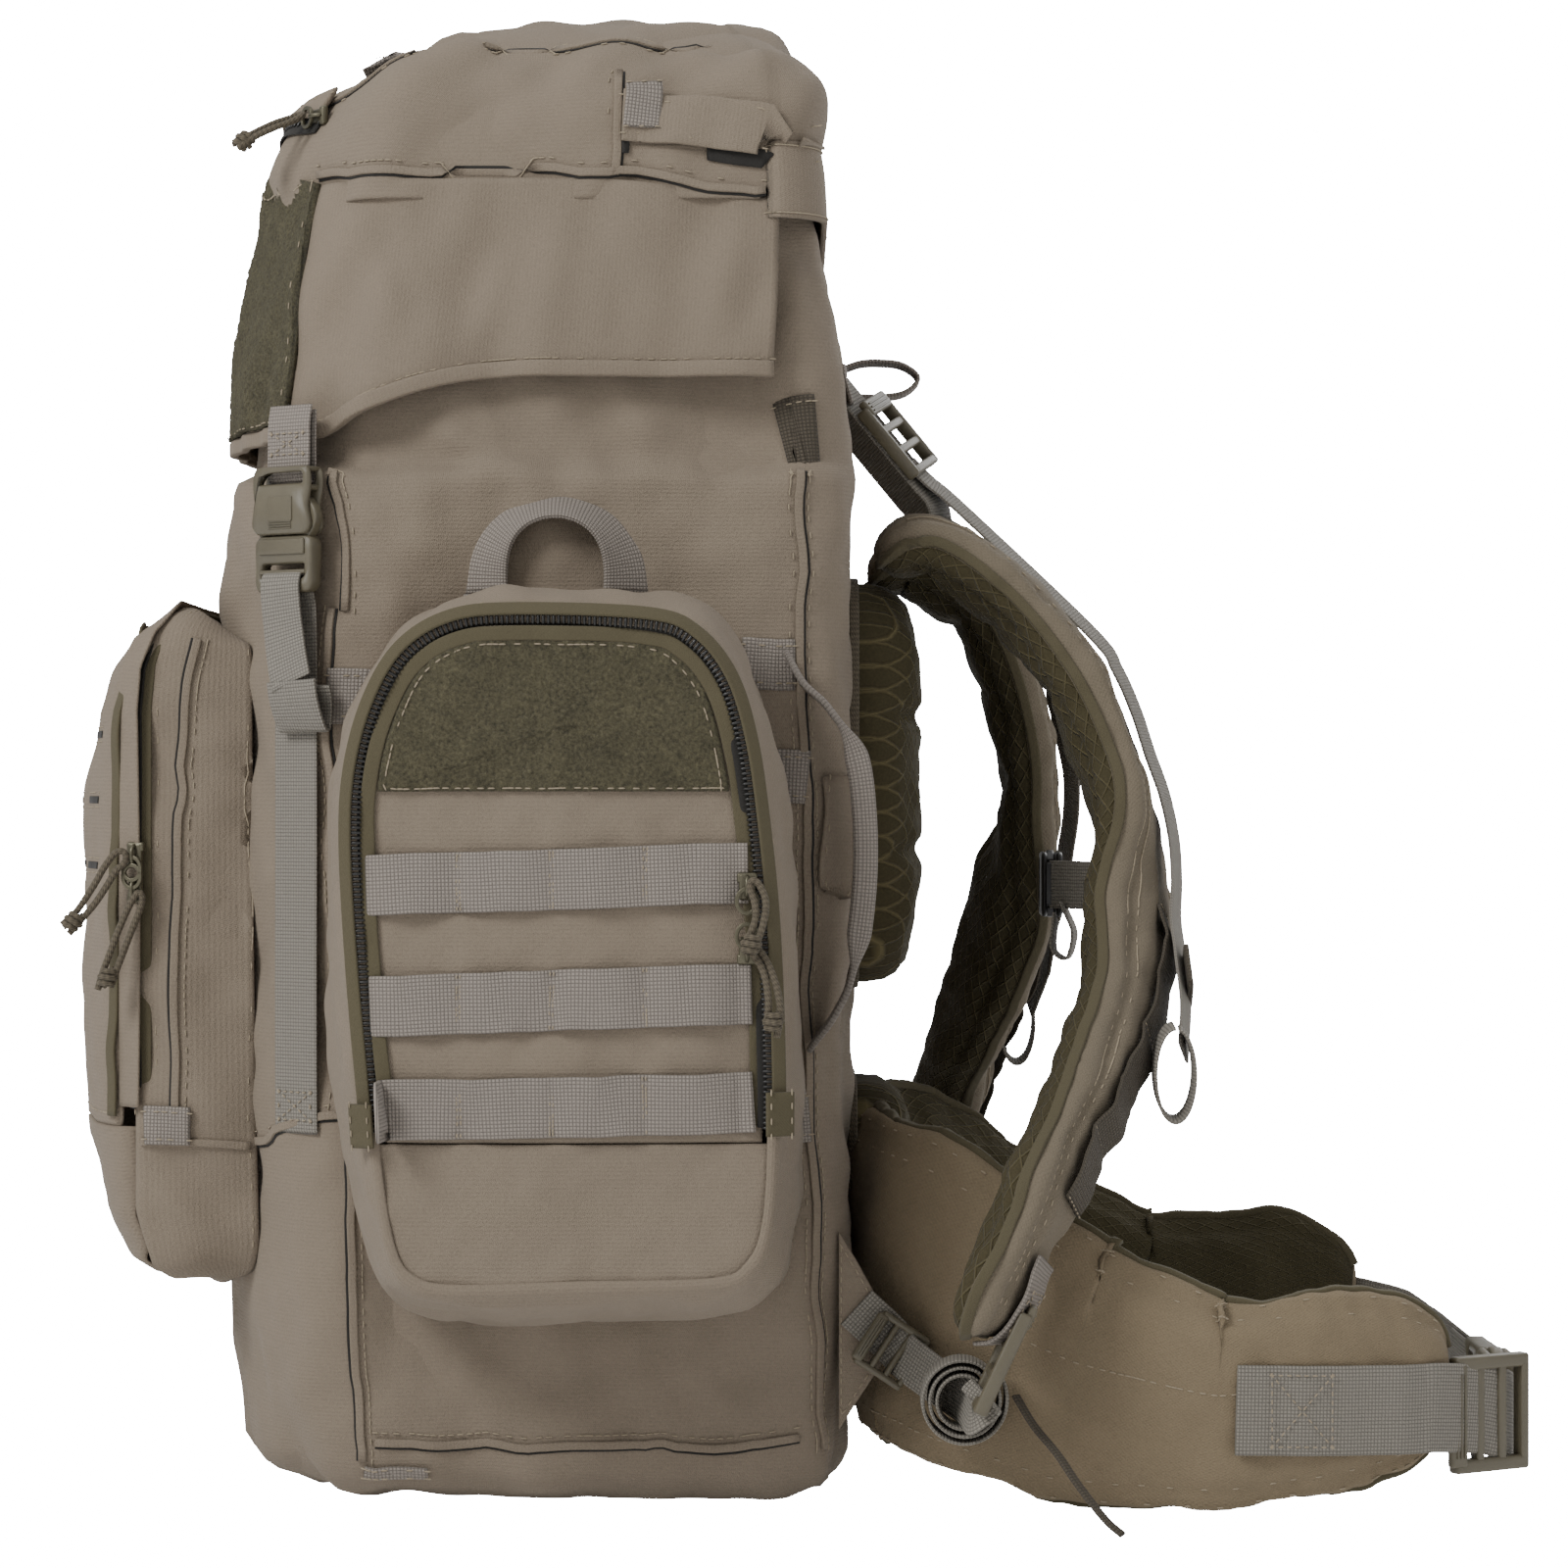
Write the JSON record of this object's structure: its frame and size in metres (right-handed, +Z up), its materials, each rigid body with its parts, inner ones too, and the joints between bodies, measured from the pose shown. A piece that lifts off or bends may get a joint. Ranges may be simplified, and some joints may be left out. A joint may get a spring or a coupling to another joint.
{
  "type": "hunting backpack",
  "caption": "Tall hooded load-carrying backpack with zipped pouches on its front and sides, webbing rows, a padded harness and a buckled hip belt.",
  "frame": {"origin": "centre of the bag's flat base, on the standing surface", "axes": "+Z up, +X towards the wearer's back, -Y the wearer's right-hand side"},
  "size_m": [0.643, 0.4842, 0.654],
  "materials": {
    "shell_fabric": "matt plain-weave nylon, stone grey olive",
    "belt_fabric": "matt woven nylon over foam",
    "webbing": "ribbed woven webbing, grey",
    "dark_webbing": "dark woven webbing",
    "loop_pile": "fuzzy loop pile, dark olive",
    "back_mesh": "open spacer mesh, dark with an olive diamond net",
    "buckle_plastic": "moulded acetal, olive drab, slight sheen",
    "black_plastic": "moulded acetal, black",
    "frame_board": "polyethylene sheet",
    "stay_aluminium": "mill finish",
    "zip_metal": "painted die-cast slider",
    "pull_cord": "braided cord, olive grey"
  },
  "bodies": {
    "pack": {"main_bag": "shell_fabric", "frame_sheet": "frame_board", "frame_stay": "stay_aluminium", "front_pocket": "shell_fabric", "side_pocket_r": "shell_fabric", "side_pocket_l": "shell_fabric", "front_strap_r": "webbing", "front_strap_l": "webbing", "back_pad_r": "back_mesh", "back_pad_l": "back_mesh", "lumbar_pad": "back_mesh", "shoulder_strap_r": "belt_fabric", "shoulder_strap_l": "belt_fabric", "strap_wing_r": "shell_fabric", "strap_wing_l": "shell_fabric", "lifter_web_r": "webbing", "lifter_web_l": "webbing", "lifter_tail_r": "webbing", "lifter_tail_l": "webbing", "hip_fin_r": "belt_fabric", "hip_fin_l": "belt_fabric", "belt_web_r": "webbing", "waist_female": "buckle_plastic", "sternum_web_r": "dark_webbing", "sternum_female": "black_plastic", "carry_handle_r": "webbing", "carry_handle_l": "webbing", "haul_loop": "webbing"},
    "lid": {"lid_hood": "shell_fabric", "lid_liner": "shell_fabric", "lid_loop_patch": "loop_pile", "lid_strap_r": "webbing", "lid_strap_l": "webbing", "buckle_female_r": "buckle_plastic", "buckle_female_l": "buckle_plastic"},
    "lid_zip": {"lid_slider": "zip_metal", "lid_pull": "pull_cord"},
    "lid_plug_r": {"buckle_male_r": "buckle_plastic"},
    "lid_plug_l": {"buckle_male_l": "buckle_plastic"},
    "front_door": {"front_pocket_face": "shell_fabric"},
    "front_zip_upper": {"front_slider_upper": "zip_metal", "front_pull_upper": "pull_cord"},
    "front_zip_lower": {"front_slider_lower": "zip_metal", "front_pull_lower": "pull_cord"},
    "side_door_r": {"side_face_r": "shell_fabric"},
    "side_door_l": {"side_face_l": "shell_fabric"},
    "side_zip_upper": {"side_slider_upper": "zip_metal", "side_pull_upper": "pull_cord"},
    "side_zip_lower": {"side_slider_lower": "zip_metal", "side_pull_lower": "pull_cord"},
    "waist_plug": {"waist_male": "buckle_plastic", "belt_web_l": "webbing"},
    "sternum_plug": {"sternum_male": "black_plastic", "sternum_web_l": "dark_webbing"},
    "arch_r": {"arch_handle_r": "webbing"},
    "arch_l": {"arch_handle_l": "webbing"},
    "lifter_tilt_r": {"lifter_lock_r": "buckle_plastic"},
    "lifter_tilt_l": {"lifter_lock_l": "buckle_plastic"},
    "lower_tilt_r": {"lower_lock_r": "buckle_plastic"},
    "lower_tilt_l": {"lower_lock_l": "buckle_plastic"}
  },
  "joints": [
    {"name": "lid_hinge", "type": "hinge", "parent": "pack", "child": "lid", "pos_m": [0.127, 0, 0.574], "axis": [0, 1, 0], "range_deg": [0, 120]},
    {"name": "lid_zip_run", "type": "slide", "parent": "lid", "child": "lid_zip", "axis": [-0.49, 0.8717, 0], "range_m": [0, 0.025]},
    {"name": "lid_release_r", "type": "slide", "parent": "pack", "child": "lid_plug_r", "axis": [0, 0, -1], "range_m": [0, 0.03]},
    {"name": "lid_release_l", "type": "slide", "parent": "pack", "child": "lid_plug_l", "axis": [0, 0, -1], "range_m": [0, 0.03]},
    {"name": "front_door_hinge", "type": "hinge", "parent": "pack", "child": "front_door", "pos_m": [-0.2046, 0, 0.158], "axis": [0, -1, 0], "range_deg": [0, 100]},
    {"name": "front_zip_upper_run", "type": "slide", "parent": "pack", "child": "front_zip_upper", "axis": [0, 0, 1], "range_m": [0, 0.06]},
    {"name": "front_zip_lower_run", "type": "slide", "parent": "pack", "child": "front_zip_lower", "axis": [0, 0, -1], "range_m": [0, 0.06]},
    {"name": "side_door_hinge_r", "type": "hinge", "parent": "pack", "child": "side_door_r", "pos_m": [0, -0.2352, 0.16], "axis": [1, 0, 0], "range_deg": [0, 100]},
    {"name": "side_door_hinge_l", "type": "hinge", "parent": "pack", "child": "side_door_l", "pos_m": [0, 0.2352, 0.16], "axis": [-1, 0, 0], "range_deg": [0, 100]},
    {"name": "side_zip_upper_run", "type": "slide", "parent": "pack", "child": "side_zip_upper", "axis": [0, 0, 1], "range_m": [0, 0.035]},
    {"name": "side_zip_lower_run", "type": "slide", "parent": "pack", "child": "side_zip_lower", "axis": [0, 0, -1], "range_m": [0, 0.06]},
    {"name": "waist_release", "type": "slide", "parent": "pack", "child": "waist_plug", "axis": [0, 1, 0], "range_m": [0, 0.035]},
    {"name": "sternum_release", "type": "slide", "parent": "pack", "child": "sternum_plug", "axis": [0, 1, 0], "range_m": [0, 0.018]},
    {"name": "arch_fold_r", "type": "hinge", "parent": "pack", "child": "arch_r", "pos_m": [0.018, -0.163, 0.3889], "axis": [1, 0, 0], "range_deg": [0, 75]},
    {"name": "arch_fold_l", "type": "hinge", "parent": "pack", "child": "arch_l", "pos_m": [0.018, 0.163, 0.3889], "axis": [-1, 0, 0], "range_deg": [0, 75]},
    {"name": "lifter_lock_tilt_r", "type": "hinge", "parent": "pack", "child": "lifter_tilt_r", "pos_m": [0.17805, -0.075, 0.44783], "axis": [0, 1, 0], "range_deg": [0, 40]},
    {"name": "lifter_lock_tilt_l", "type": "hinge", "parent": "pack", "child": "lifter_tilt_l", "pos_m": [0.17805, 0.075, 0.44783], "axis": [0, 1, 0], "range_deg": [0, 40]},
    {"name": "lower_lock_tilt_r", "type": "hinge", "parent": "pack", "child": "lower_tilt_r", "pos_m": [0.2148, -0.214, 0.0903], "axis": [0, -1, 0], "range_deg": [0, 40]},
    {"name": "lower_lock_tilt_l", "type": "hinge", "parent": "pack", "child": "lower_tilt_l", "pos_m": [0.2064, 0.213, 0.0979], "axis": [0, -1, 0], "range_deg": [0, 40]}
  ]
}
